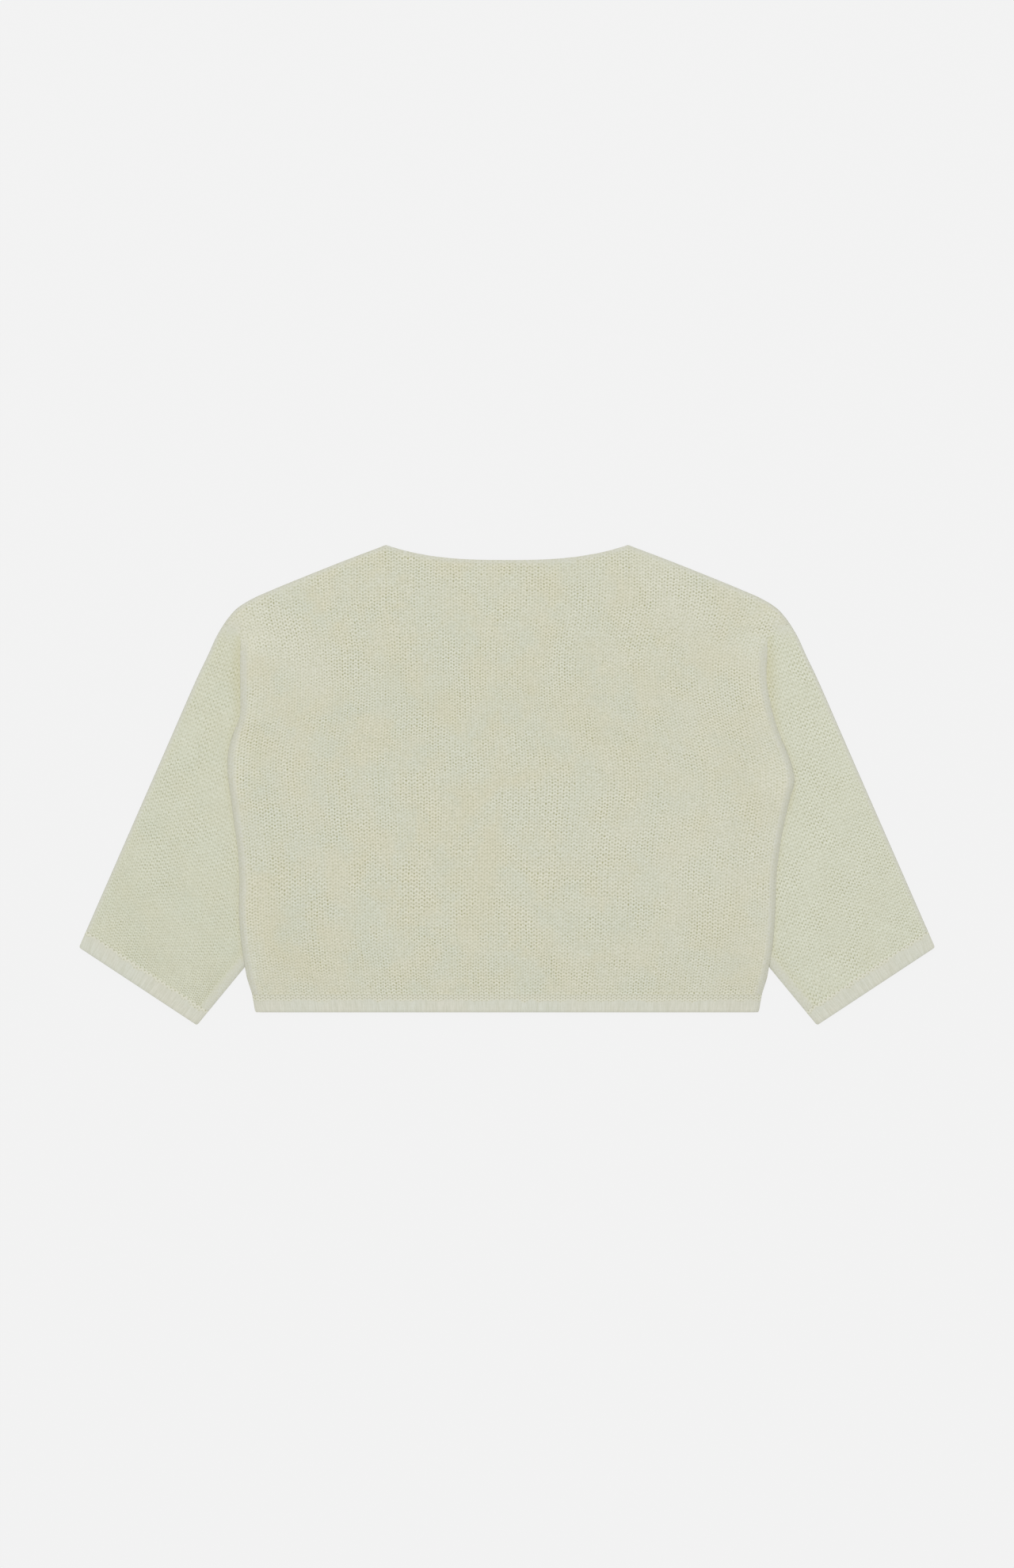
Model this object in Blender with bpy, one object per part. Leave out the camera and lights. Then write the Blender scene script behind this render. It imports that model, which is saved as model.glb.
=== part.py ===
"""Cropped, boxy pullover sweater in a loose plain knit, laid flat and face up.

+X is to the right as the garment is seen from above, +Y points from hem to neck, +Z is up, and
the origin is on the ground under the middle of the garment. All sizes are in metres.

The back lies on the ground and the front lies on the back. The sleeves are brought down
beside the body: each is a flattened tube, lying on the ground, and its inner part is tucked
under the side of the body, which rises over it. The wide neck is the bare edge of front and
back. Hem and cuffs are narrow one-by-one ribs.
"""

import bmesh
import bpy
import numpy as np

# Cloth
WALL = 0.0022
SEAM_GAP = 0.0003
HALF_STACK = 0.0028           # half the height of two layers with the air between them
ROLL_WIDTH = 0.009            # how far a soft folded edge takes to reach full height
SEAM_EDGE = 0.0009            # what is left of a wall where it is turned in at a seam
SLEEVE_LIFT = 2 * HALF_STACK + 0.0005

# Body, from the middle of the garment
NECK_HALF_WIDTH = 0.130
NECK_CENTRE_HEIGHT = 0.2412
NECK_DROP = 0.0162
NECK_CURVE_POWER = 2.75
RIB_TOP = -0.2251
HEM_BOTTOM = -0.2445
SHOULDER_RISE = 0.036         # stretch below the shoulder in which the body climbs the sleeve
SIDE_SEAM_START = 0.020       # stretch below the shoulder in which the side begins to turn in
SHOULDER_SEAM_START = 0.012   # the same beside the neck, for the shoulder seam
NOTCH_HEIGHT = -0.1960        # where the fold of the sleeve comes out from under the side
NOTCH_CLEAR = -0.1990
RAMP_MARGIN = 0.006
RAMP_WIDTH = 0.070            # the body comes down from the sleeve to the ground in this width

# Ribbing
RIB_DEPTH = 0.0192
RIB_RELIEF = 0.0011
RIB_VALLEY_WALL = 0.0016
HEM_RIBS = 50
CUFF_RIBS = 14
CORNER_RADIUS = 0.0016
RIB_PROFILE = (0.0, 0.8, 1.0, 0.8)      # height of one rib at each quarter of its width

# Outline from the neck point over the shoulder and down the sleeve to the cuff
SHOULDER_LINE = (
    # half_width, height
    (0.1300, 0.2574),
    (0.1751, 0.2404),
    (0.2261, 0.2200),
    (0.2508, 0.2098),
    (0.2737, 0.1996),
    (0.2899, 0.1894),
    (0.2992, 0.1792),
    (0.3035, 0.1732),
)
SLEEVE_LINE = (
    # half_width, height
    (0.3035, 0.1732),
    (0.3120, 0.1588),
    (0.3213, 0.1384),
    (0.3358, 0.1078),
    (0.3700, 0.0295),
    (0.4145, -0.0720),
    (0.4595, -0.1747),
)

# Side of the body from the shoulder to the hem, and how far the sleeve is tucked under it
SIDE_LINE = (
    # height, left, right, tuck
    (0.1732, 0.3035, 0.3035, 0.000),
    (0.1664, 0.2924, 0.2907, 0.000),
    (0.1579, 0.2865, 0.2805, 0.000),
    (0.1367, 0.2865, 0.2794, 0.000),
    (0.1154, 0.2865, 0.2785, 0.007),
    (0.0942, 0.2862, 0.2814, 0.016),
    (0.0729, 0.2870, 0.2865, 0.026),
    (0.0534, 0.2945, 0.2928, 0.036),
    (0.0347, 0.2992, 0.3009, 0.045),
    (0.0151, 0.3001, 0.3073, 0.050),
    (0.0024, 0.2988, 0.3086, 0.052),
    (-0.0163, 0.2962, 0.3035, 0.053),
    (-0.0418, 0.2928, 0.2975, 0.054),
    (-0.0699, 0.2890, 0.2924, 0.053),
    (-0.1013, 0.2873, 0.2890, 0.050),
    (-0.1336, 0.2878, 0.2882, 0.042),
    (-0.1591, 0.2865, 0.2865, 0.029),
    (-0.1846, 0.2833, 0.2835, 0.010),
    (-0.1960, 0.2812, 0.2810, 0.000),
    (-0.2084, 0.2788, 0.2788, 0.000),
    (-0.2251, 0.2737, 0.2737, 0.000),
    (-0.2445, 0.2705, 0.2705, 0.000),
)
ARMHOLE_FOOT = 0.0347         # height at which the hidden armhole ends in the underarm fold
CUFF_INNER = (0.3328, -0.2583)

# Steps of the meshes, as distances along the cloth
ROLL_STEPS = (0.0, 0.001, 0.004, ROLL_WIDTH)
SHOULDER_SEAM_STEPS = (0.015, 0.023, 0.033, 0.045)
SHOULDER_STEPS = (0.020, 0.036, 0.055, 0.080, 0.110, 0.140)
NECK_PARTS = (0.0, 0.08, 0.2, 0.4, 0.7, 1.0)      # from the neck point to the middle
SIDE_ROWS = 17
SLEEVE_STEPS = (0.068, 0.092, 0.116)
SLEEVE_ROWS = 16
HEM_BACK_COLUMNS = 41
CURVE_STEPS = 12
SHORTEST_STEP = 0.004
SHARP_ANGLE = 0.7

# Finish: matte cotton yarn
YARN_ROUGHNESS = 0.95
BODY_COLOUR = (0.617, 0.617, 0.491)
SLEEVE_COLOUR = (0.625, 0.632, 0.505)
RIB_COLOUR = (0.631, 0.637, 0.539)

LEFT = -1
RIGHT = 1


def soft_step(value):
    """Ease from 0 to 1 as the value goes from 0 to 1."""
    value = np.clip(value, 0.0, 1.0)
    return value * value * (3.0 - 2.0 * value)


def rolled(distance, width=ROLL_WIDTH):
    """Height of a rounded edge, 0 at the edge and 1 at its full width, as a quarter ellipse."""
    left_over = 1.0 - np.clip(np.asarray(distance) / width, 0.0, 1.0)
    return np.sqrt(1.0 - left_over * left_over)


def curve_through(points):
    """Smooth line through the points, straight on at both ends."""
    points = np.array(points, dtype=float)
    before = np.vstack([2 * points[0] - points[1], points, 2 * points[-1] - points[-2]])
    steps = np.linspace(0.0, 1.0, CURVE_STEPS, endpoint=False)[:, None]
    pieces = []
    for index in range(len(points) - 1):
        p0, p1, p2, p3 = before[index:index + 4]
        bend = 2 * p0 - 5 * p1 + 4 * p2 - p3
        turn = 3 * p1 - p0 - 3 * p2 + p3
        pieces.append(p1 + 0.5 * steps * ((p2 - p0) + steps * (bend + steps * turn)))
    pieces.append(points[-1:])
    return np.vstack(pieces)


def lengths_along(line):
    """Distance of each point of a line from its start."""
    legs = np.linalg.norm(np.diff(line, axis=0), axis=1)
    return np.concatenate([[0.0], np.cumsum(legs)])


def walk(line, distances):
    """Points of a line at the given distances from its start."""
    total = lengths_along(line)
    columns = [np.interp(distances, total, line[:, axis]) for axis in range(line.shape[1])]
    return np.stack(columns, axis=-1)


def along(line, fractions):
    """Points of a line at the given fractions of its length."""
    return walk(line, np.asarray(fractions) * lengths_along(line)[-1])


def side_curve(side):
    """Plan of one side of the body from shoulder to hem, as x, y and tuck."""
    rows = [(side * (left if side == LEFT else right), height, tuck)
            for height, left, right, tuck in SIDE_LINE]
    return curve_through(rows)


def at_height(line, height, column):
    """One column of a line that falls steadily, read at the given height."""
    return np.interp(height, line[::-1, 1], line[::-1, column])


def top_height(x):
    """Height of the upper edge of front and back: the neck curve, then the shoulder."""
    shoulder = curve_through(SHOULDER_LINE)
    neck = NECK_CENTRE_HEIGHT + NECK_DROP * (np.abs(x) / NECK_HALF_WIDTH) ** NECK_CURVE_POWER
    return np.where(np.abs(x) < NECK_HALF_WIDTH, neck,
                    np.interp(np.abs(x), shoulder[:, 0], shoulder[:, 1]))


def edge_distance(x, y):
    """Distance in from the nearer side of the body, and the tuck of the sleeve there."""
    distance = np.zeros_like(x)
    tuck = np.zeros_like(x)
    for side in (LEFT, RIGHT):
        line = side_curve(side)
        here = x * side >= 0
        distance = np.where(here, np.abs(at_height(line, y, 0)) - np.abs(x), distance)
        tuck = np.where(here, at_height(line, y, 2), tuck)
    return np.maximum(distance, 0.0), tuck


def body_lift(x, y):
    """Height of the underside of the body above the ground."""
    distance, tuck = edge_distance(x, y)
    below_shoulder = soft_step((SHOULDER_LINE[-1][1] - y) / SHOULDER_RISE)
    above_hem = soft_step((y - HEM_BOTTOM) / (NOTCH_CLEAR - HEM_BOTTOM))
    inwards = 1.0 - soft_step((distance - tuck - RAMP_MARGIN) / RAMP_WIDTH)
    return SLEEVE_LIFT * below_shoulder * above_hem * inwards


def body_roll(x, y, top_distance):
    """How far the cloth has risen from its turned-in edges, 0 at a seam and 1 inside."""
    distance, _ = edge_distance(x, y)
    side_seam = soft_step((SHOULDER_LINE[-1][1] - y) / SIDE_SEAM_START)
    shoulder_seam = soft_step((np.abs(x) - NECK_HALF_WIDTH) / SHOULDER_SEAM_START)
    at_side = 1.0 - side_seam * (1.0 - rolled(distance))
    at_shoulder = 1.0 - shoulder_seam * (1.0 - rolled(top_distance))
    return at_side * at_shoulder


def patch(bottom, top, left, right, u, v):
    """Plan points inside four edges, each blended evenly from its two pairs of edges.

    Bottom and top have a point for each u, left and right have one for each v.
    """
    u = u[None, :, None]
    v = v[:, None, None]
    across = (1 - v) * bottom[None] + v * top[None]
    upwards = (1 - u) * left[:, None] + u * right[:, None]
    corners = ((1 - v) * ((1 - u) * bottom[0] + u * bottom[-1])
               + v * ((1 - u) * top[0] + u * top[-1]))
    return across + upwards - corners


def grid_faces(rows, columns, start=0, wrap=False):
    """Four-sided faces between the points of a grid that is stored row by row."""
    faces = []
    for row in range(rows - 1):
        for column in range(columns if wrap else columns - 1):
            following = (column + 1) % columns
            a = start + row * columns
            b = a + columns
            faces.append((a + column, a + following, b + following, b + column))
    return faces


def add_object(name, points, faces, colour):
    """A closed solid with its own matte yarn material."""
    mesh = bpy.data.meshes.new(name)
    mesh.from_pydata([tuple(point) for point in points], [], faces)
    shape = bmesh.new()
    shape.from_mesh(mesh)
    bmesh.ops.recalc_face_normals(shape, faces=shape.faces)
    shape.to_mesh(mesh)
    shape.free()
    mesh.shade_smooth()
    mesh.set_sharp_from_angle(angle=SHARP_ANGLE)

    material = bpy.data.materials.new(name + "_yarn")
    material.use_nodes = True
    shader = material.node_tree.nodes["Principled BSDF"]
    shader.inputs["Base Color"].default_value = (*colour, 1.0)
    shader.inputs["Roughness"].default_value = YARN_ROUGHNESS
    shader.inputs["Metallic"].default_value = 0.0
    mesh.materials.append(material)

    solid = bpy.data.objects.new(name, mesh)
    bpy.context.scene.collection.objects.link(solid)
    return solid


def add_panel(name, outer, inner, colour):
    """Wall between an outer and an inner sheet of points, closed all round its edge."""
    rows, columns = outer.shape[:2]
    count = rows * columns
    points = np.vstack([outer.reshape(-1, 3), inner.reshape(-1, 3)])
    faces = grid_faces(rows, columns)
    faces += [tuple(reversed(face)) for face in grid_faces(rows, columns, count)]
    last = (rows - 1) * columns
    edge = list(range(columns))
    edge += [row * columns + columns - 1 for row in range(1, rows)]
    edge += list(range(last + columns - 2, last - 1, -1))
    edge += [row * columns for row in range(rows - 2, 0, -1)]
    for index, here in enumerate(edge):
        ahead = edge[(index + 1) % len(edge)]
        faces.append((ahead, here, here + count, ahead + count))
    return add_object(name, points, faces, colour)


def add_tube(name, outer, inner, colour):
    """Flattened tube: rings of points outside and inside, joined at its two open ends."""
    rows, columns = outer.shape[:2]
    count = rows * columns
    points = np.vstack([outer.reshape(-1, 3), inner.reshape(-1, 3)])
    faces = grid_faces(rows, columns, wrap=True)
    faces += [tuple(reversed(face)) for face in grid_faces(rows, columns, count, wrap=True)]
    for start in (0, (rows - 1) * columns):
        for column in range(columns):
            here = start + column
            ahead = start + (column + 1) % columns
            face = (ahead, here, here + count, ahead + count)
            faces.append(face if start == 0 else tuple(reversed(face)))
    return add_object(name, points, faces, colour)


def body_plan():
    """Plan points of front and back, and their distance from the upper edge."""
    lines = {side: side_curve(side) for side in (LEFT, RIGHT)}
    above_rib = {side: line[line[:, 1] > RIB_TOP - SEAM_GAP] for side, line in lines.items()}
    near = np.array(ROLL_STEPS + SHOULDER_SEAM_STEPS)
    rest = np.linspace(0.0, 1.0, SIDE_ROWS)[1:]
    edges = {}
    fractions = []
    for side, line in above_rib.items():
        length = lengths_along(line)[-1]
        distances = np.concatenate([near, near[-1] + (length - near[-1]) * rest])
        edges[side] = walk(line[:, :2], distances)
        fractions.append(distances / length)
    v = 1.0 - np.mean(fractions, axis=0)

    half = SHOULDER_LINE[-1][0]
    neck_steps = half - NECK_HALF_WIDTH * (1.0 - np.array(NECK_PARTS))
    steps = np.concatenate([ROLL_STEPS, SHOULDER_STEPS, neck_steps])
    across = np.concatenate([steps, 2 * half - steps[-2::-1]]) / (2 * half)
    top_x = (2 * across - 1) * half
    top = np.stack([top_x, top_height(top_x)], axis=-1)
    bottom = edges[LEFT][-1] + across[:, None] * (edges[RIGHT][-1] - edges[LEFT][-1])
    plan = patch(bottom, top, edges[LEFT], edges[RIGHT], across, v)
    top_distance = top[None, :, 1] - plan[:, :, 1]
    top_distance[0] = 0.0
    return plan, np.maximum(top_distance, 0.0)


def front_heights(x, y, top_distance):
    """Outer and inner heights of the front."""
    rise = body_roll(x, y, top_distance)
    seam = body_lift(x, y) + HALF_STACK + SEAM_GAP / 2
    outer = seam + SEAM_EDGE + (HALF_STACK - SEAM_GAP / 2 - SEAM_EDGE) * rise
    inner = seam + (HALF_STACK - SEAM_GAP / 2 - WALL) * rise
    return outer, inner


def back_heights(x, y, top_distance):
    """Outer and inner heights of the back, which is the front turned over."""
    rise = body_roll(x, y, top_distance)
    seam = body_lift(x, y) + HALF_STACK - SEAM_GAP / 2
    outer = seam - SEAM_EDGE - (HALF_STACK - SEAM_GAP / 2 - SEAM_EDGE) * rise
    inner = seam - (HALF_STACK - SEAM_GAP / 2 - WALL) * rise
    return outer, inner


def sheet(plan, heights):
    """Plan points and their heights as points in space."""
    return np.concatenate([plan, heights[..., None]], axis=-1)


def make_body():
    """Front and back, cut to the same plan."""
    plan, top_distance = body_plan()
    x = plan[..., 0]
    y = plan[..., 1]
    outer, inner = front_heights(x, y, top_distance)
    add_panel("front_panel", sheet(plan, outer), sheet(plan, inner), BODY_COLOUR)
    outer, inner = back_heights(x, y, top_distance)
    add_panel("back_panel", sheet(plan, outer), sheet(plan, inner), BODY_COLOUR)


def hem_plan(columns):
    """Plan of the hem in an upper and a lower row, with rounded lower corners."""
    across = np.linspace(0.0, 1.0, columns)
    rows = []
    for height in (RIB_TOP - SEAM_GAP, HEM_BOTTOM):
        left = at_height(side_curve(LEFT), height, 0)
        right = at_height(side_curve(RIGHT), height, 0)
        x = left + across * (right - left)
        rows.append(np.stack([x, np.full(columns, height)], axis=-1))
    corner = np.minimum(rows[-1][:, 0] - rows[-1][0, 0], rows[-1][-1, 0] - rows[-1][:, 0])
    rows[-1][:, 1] += CORNER_RADIUS * (1.0 - rolled(corner, CORNER_RADIUS))
    return np.array(rows)


def rib_heights(count):
    """Relief of a run of ribs: a soft ridge for each, with a narrow valley between."""
    return np.array(RIB_PROFILE * count + RIB_PROFILE[:1])


def make_hem():
    """Front rib, raised on the outside, and the plain back rib that lies on the ground."""
    far_from_top = RIB_TOP - HEM_BOTTOM
    plan = hem_plan(HEM_RIBS * len(RIB_PROFILE) + 1)
    x = plan[..., 0]
    y = plan[..., 1]
    outer, inner = front_heights(x, y, np.full_like(x, far_from_top))
    rise = body_roll(x, y, far_from_top)
    ribs = RIB_RELIEF * rib_heights(HEM_RIBS)[None] - (WALL - RIB_VALLEY_WALL)
    outer = outer + rise * ribs
    add_panel("hem_front", sheet(plan, outer), sheet(plan, inner), RIB_COLOUR)

    plan = hem_plan(HEM_BACK_COLUMNS)
    x = plan[..., 0]
    y = plan[..., 1]
    outer, inner = back_heights(x, y, np.full_like(x, far_from_top))
    add_panel("hem_back", sheet(plan, outer), sheet(plan, inner), RIB_COLOUR)


def sleeve_edges(side):
    """The four edges of a sleeve in plan: outer fold, inner fold, cuff and armhole."""
    mirror = np.array([side, 1.0])
    outer = curve_through(SLEEVE_LINE)[::-1] * mirror
    body = side_curve(side)

    direction = np.gradient(body[:, :2], axis=0)
    direction /= np.linalg.norm(direction, axis=1)[:, None]
    outwards = np.stack([-direction[:, 1] * side, direction[:, 0] * side], axis=-1)
    hidden = body[:, :2] + outwards * SEAM_GAP
    hidden[:, 0] -= side * body[:, 2]

    seam_end = SHOULDER_SEAM_STEPS[-1]
    distance = lengths_along(body[:, :2])
    stations = np.array(ROLL_STEPS + SHOULDER_SEAM_STEPS)
    seam = np.stack([np.interp(stations, distance, hidden[:, axis]) for axis in (0, 1)], axis=-1)
    lower = hidden[(distance > seam_end + SHORTEST_STEP) & (body[:, 1] > ARMHOLE_FOOT)]
    armhole = np.vstack([seam, lower])

    tucked = hidden[(body[:, 1] <= ARMHOLE_FOOT) & (body[:, 1] > NOTCH_HEIGHT)]
    cuff_corner = np.array(CUFF_INNER) * mirror
    inner = np.vstack([armhole[-1:], tucked, cuff_corner])[::-1]
    cuff = np.array([outer[0], inner[0]])
    outer = np.vstack([outer[:-1], armhole[:1]])
    return outer, inner, cuff, armhole


def sleeve_plan(edges, u, v):
    """Plan points of a sleeve, u from its outer to its inner fold, v from cuff to armhole."""
    outer, inner, cuff, armhole = edges
    return patch(along(cuff, u), along(armhole, u), along(outer, v), along(inner, v), u, v)


def tube_rings(edges, u, v, relief=0.0, open_corner=0.0):
    """Rings of a flattened tube, outside and inside, over the top and back underneath.

    Relief is added to the upper outside alone. The corners of the first ring are rounded by
    the radius of the open corner.
    """
    width = np.linalg.norm(along(edges[0], v) - along(edges[1], v), axis=1)[:, None]
    from_fold = np.minimum(u, 1.0 - u)[None] * width
    rise = rolled(from_fold)
    shift = WALL * (1.0 - np.clip(from_fold / ROLL_WIDTH, 0.0, 1.0)) / width
    plan = sleeve_plan(edges, u, v)
    if open_corner > 0.0:
        corner = open_corner * (1.0 - rolled(from_fold[0], open_corner))
        step = plan[-1] - plan[0]
        plan[0] += step / np.linalg.norm(step, axis=1)[:, None] * corner[:, None]

    inside = plan.copy()
    towards = plan[:, -1:] - plan[:, :1]
    sign = np.where(u < 0.5, 1.0, -1.0)[None]
    inside += towards * (shift * sign)[..., None]

    outer_top = sheet(plan, HALF_STACK + (HALF_STACK + relief) * rise)
    outer_under = sheet(plan, HALF_STACK - HALF_STACK * rise)
    inner_top = sheet(inside, HALF_STACK + (HALF_STACK - WALL) * rise)
    inner_under = sheet(inside, HALF_STACK - (HALF_STACK - WALL) * rise)
    outer = np.concatenate([outer_top, outer_under[:, -2:0:-1]], axis=1)
    inner = np.concatenate([inner_top, inner_under[:, -2:0:-1]], axis=1)
    return outer, inner


def make_sleeve(side, side_name):
    """One sleeve and its rib cuff."""
    edges = sleeve_edges(side)
    armhole_length = lengths_along(edges[3])[-1]
    mean_length = (lengths_along(edges[0])[-1] + lengths_along(edges[1])[-1]) / 2
    near = np.array(ROLL_STEPS + SHOULDER_SEAM_STEPS + SLEEVE_STEPS)
    far = armhole_length - np.array(ROLL_STEPS[::-1])
    u = np.concatenate([near, far]) / armhole_length
    cuff_end = RIB_DEPTH / mean_length
    sleeve_start = (RIB_DEPTH + SEAM_GAP) / mean_length
    v = sleeve_start + (1.0 - sleeve_start) * np.linspace(0.0, 1.0, SLEEVE_ROWS)
    outer, inner = tube_rings(edges, u, v)
    add_tube("sleeve_" + side_name, outer, inner, SLEEVE_COLOUR)

    u = np.linspace(0.0, 1.0, CUFF_RIBS * len(RIB_PROFILE) + 1)
    v = np.linspace(0.0, cuff_end, 2)
    ribs = RIB_RELIEF * rib_heights(CUFF_RIBS)[None] - (WALL - RIB_VALLEY_WALL)
    outer, inner = tube_rings(edges, u, v, relief=ribs, open_corner=CORNER_RADIUS)
    add_tube("cuff_" + side_name, outer, inner, RIB_COLOUR)


def main():
    for old in list(bpy.data.objects):
        bpy.data.objects.remove(old, do_unlink=True)
    make_body()
    make_hem()
    make_sleeve(LEFT, "left")
    make_sleeve(RIGHT, "right")


main()
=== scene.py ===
# Loose-knit pullover laid flat, seen straight from above: the cloth and its finish.
# Metres, +X to the right as seen from above, +Y towards the neck, +Z up.
import math

import bmesh
import bpy
import numpy as np
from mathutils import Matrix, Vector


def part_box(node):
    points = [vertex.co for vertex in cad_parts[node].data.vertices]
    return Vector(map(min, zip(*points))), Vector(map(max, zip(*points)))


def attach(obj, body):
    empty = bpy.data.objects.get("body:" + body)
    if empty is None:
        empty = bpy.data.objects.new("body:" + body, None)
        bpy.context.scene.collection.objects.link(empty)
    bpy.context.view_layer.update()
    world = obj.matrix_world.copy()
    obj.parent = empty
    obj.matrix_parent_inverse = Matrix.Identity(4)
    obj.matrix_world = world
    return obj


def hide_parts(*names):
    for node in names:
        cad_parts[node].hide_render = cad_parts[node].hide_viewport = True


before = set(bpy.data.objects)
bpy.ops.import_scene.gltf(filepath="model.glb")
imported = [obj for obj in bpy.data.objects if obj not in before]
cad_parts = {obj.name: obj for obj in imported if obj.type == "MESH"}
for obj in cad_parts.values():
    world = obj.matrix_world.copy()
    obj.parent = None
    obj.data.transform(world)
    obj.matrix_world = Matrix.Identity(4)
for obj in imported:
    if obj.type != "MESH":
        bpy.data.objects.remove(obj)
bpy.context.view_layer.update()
print("frame loaded:", len(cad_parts), "nodes")

left, right = -1, 1
circle = 2 * math.pi

# The cloth as built: two walls, with a little air between them
cloth = {
    "wall": 0.0022,
    "halfStack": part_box("sleeve_right")[1].z / 2,
    "rollWidth": 0.009,  # how far a soft folded edge takes to reach its full height
    "seamGap": 0.0001,
    "seamEdge": 0.0005,  # what is left of a wall at a seam
    "edgeSeam": 0.0008,  # height of the seam between front and back at an edge
    "edgeSink": 0.0023,  # how far such an edge presses into a sleeve under it
    "openEdge": 0.0012,  # how far the lip of a bare edge is rounded down
    "lipWidth": 0.0024,
    "liftGap": 0.0005,  # air between a sleeve and the body over it
    "merge": 4e-6,  # closer points become one
    "leastEdge": 1e-7,
    "sharpAngle": 72,
}
wall, halfStack = cloth["wall"], cloth["halfStack"]
rollWidth, seamGap = cloth["rollWidth"], cloth["seamGap"]
sleeveLift = 2 * halfStack + cloth["liftGap"]

body = {
    "neckHalf": 0.13,  # half width
    "neckCentre": 0.2412,
    "neckDrop": 0.0162,
    "neckPower": 2.75,
    "ribTop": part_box("front_panel")[0].y,
    "hemBottom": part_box("hem_front")[0].y,
    "riseFrom": 0.166,  # below it the sleeve underneath lifts the body
    "shoulderRise": 0.034,
    "sideSeamStart": 0.03,
    "shoulderSeam": 0.012,
    "notchClear": -0.199,
    "rampMargin": 0.006,
    "rampWidth": 0.07,
    "wales": 100,  # columns of stitches across, from side to side
    "waleCalm": 0.022,  # the columns follow the side in a calmer line
    "edgeShare": 0.045,  # share of the width in which they turn to the true side
    "droop": 0.011,  # courses hang this much lower at 240 mm from the middle
    "droopAt": 0.24,
    "smoothSide": (0.0055, 0.005),  # plain rolled strip, then fading into the knit
    "smoothTop": (0.0015, 0.006),
    "waver": 0.0005,
    "waverAcross": (3, 0.055),  # seed and length of the waves
    "waverUp": (4, 0.045),
    "calmEdge": 0.02,  # waver and folds die out near an edge
    "turned": 0.3,  # stitches turned aside so much lose their relief
    # roll of the side: least width, and how much wider round a height, within a reach
    "sideRoll": (rollWidth, 0.01, 0.12, 0.038),
    "plainSpot": (0.2965, 0.169, 0.0115, 0.8),  # half width, height, size and strength
    "innerColumns": 44,
    "innerCourses": 3.5,
}
shoulderLine = (
    # half width, height
    (0.13, 0.2574), (0.1751, 0.2404), (0.2261, 0.22), (0.2508, 0.2098),
    (0.2737, 0.1996), (0.2899, 0.1894), (0.2992, 0.1792), (0.3035, 0.1732),
)
sideLine = (
    # height, left, right, how far the sleeve is tucked under
    (0.1732, 0.3035, 0.3035, 0), (0.1664, 0.2924, 0.2907, 0),
    (0.1579, 0.2865, 0.2805, 0), (0.1367, 0.2865, 0.2794, 0),
    (0.1154, 0.2865, 0.2785, 0.007), (0.0942, 0.2862, 0.2814, 0.016),
    (0.0729, 0.287, 0.2865, 0.026), (0.0534, 0.2945, 0.2928, 0.036),
    (0.0347, 0.2992, 0.3009, 0.045), (0.0151, 0.3001, 0.3073, 0.05),
    (0.0024, 0.2988, 0.3086, 0.052), (-0.0163, 0.2962, 0.3035, 0.053),
    (-0.0418, 0.2928, 0.2975, 0.054), (-0.0699, 0.289, 0.2924, 0.053),
    (-0.1013, 0.2873, 0.289, 0.05), (-0.1336, 0.2878, 0.2882, 0.042),
    (-0.1591, 0.2865, 0.2865, 0.029), (-0.1846, 0.2833, 0.2835, 0.01),
    (-0.196, 0.2812, 0.281, 0), (-0.2084, 0.2788, 0.2788, 0),
    (-0.2251, 0.2737, 0.2737, 0), (-0.2445, 0.2705, 0.2705, 0),
)
courseHeights = (
    # height on the body, and height of one course of stitches down the middle there
    (-0.2251, 0.00344), (-0.1948, 0.00344), (-0.1778, 0.00374), (-0.1098, 0.00412),
    (-0.0418, 0.00383), (0.0262, 0.00353), (0.0942, 0.00329), (0.1622, 0.00374),
    (0.2132, 0.00349), (0.28, 0.00349),
)
# Soft ridges and troughs; the back, and the sleeves underneath, have only hollows
frontFolds = (
    # from x and y, to x and y, half width, height
    (-0.257, -0.02, -0.254, -0.165, 0.006, -0.0005), (-0.236, -0.01, -0.238, -0.172, 0.006, -0.0005),
    (-0.2465, -0.03, -0.246, -0.15, 0.0055, 0.0009), (-0.274, 0.078, -0.276, 0.004, 0.008, -0.0005),
    (-0.262, 0.158, -0.212, 0.17, 0.017, 0.0016), (0.205, 0.176, 0.258, 0.16, 0.015, 0.0012),
    (-0.166, 0.07, -0.05, 0.078, 0.01, -0.0005), (-0.15, 0.094, -0.06, 0.099, 0.009, 0.0007),
    (0.04, 0.034, 0.115, 0.042, 0.011, -0.0005), (0.06, 0.062, 0.15, 0.071, 0.01, 0.0008),
    (-0.06, -0.113, -0.018, -0.121, 0.01, -0.0005), (0.252, -0.04, 0.247, -0.17, 0.0065, -0.0004),
    (0.238, -0.06, 0.235, -0.165, 0.0065, 0.0008), (0.1, -0.07, 0.175, -0.058, 0.014, 0.0007),
)
backFolds = (
    (-0.23, -0.04, -0.222, -0.15, 0.008, -0.0005), (0.225, 0.01, 0.214, -0.12, 0.0075, -0.0005),
    (-0.13, 0.12, -0.03, 0.132, 0.012, -0.0006), (0.07, -0.02, 0.16, -0.01, 0.011, -0.0004),
    (-0.05, -0.06, 0.02, -0.07, 0.013, -0.0005), (0.19, 0.15, 0.245, 0.14, 0.011, -0.0005),
)
sleeveFolds = {
    left: ((-0.336, 0.06, -0.388, -0.08, 0.01, 0.0008), (-0.352, -0.03, -0.392, -0.15, 0.008, -0.0004)),
    right: ((0.343, 0.045, 0.398, -0.085, 0.011, 0.0007),
            (0.345, -0.085, 0.384, -0.182, 0.008, -0.0004)),
}
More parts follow.
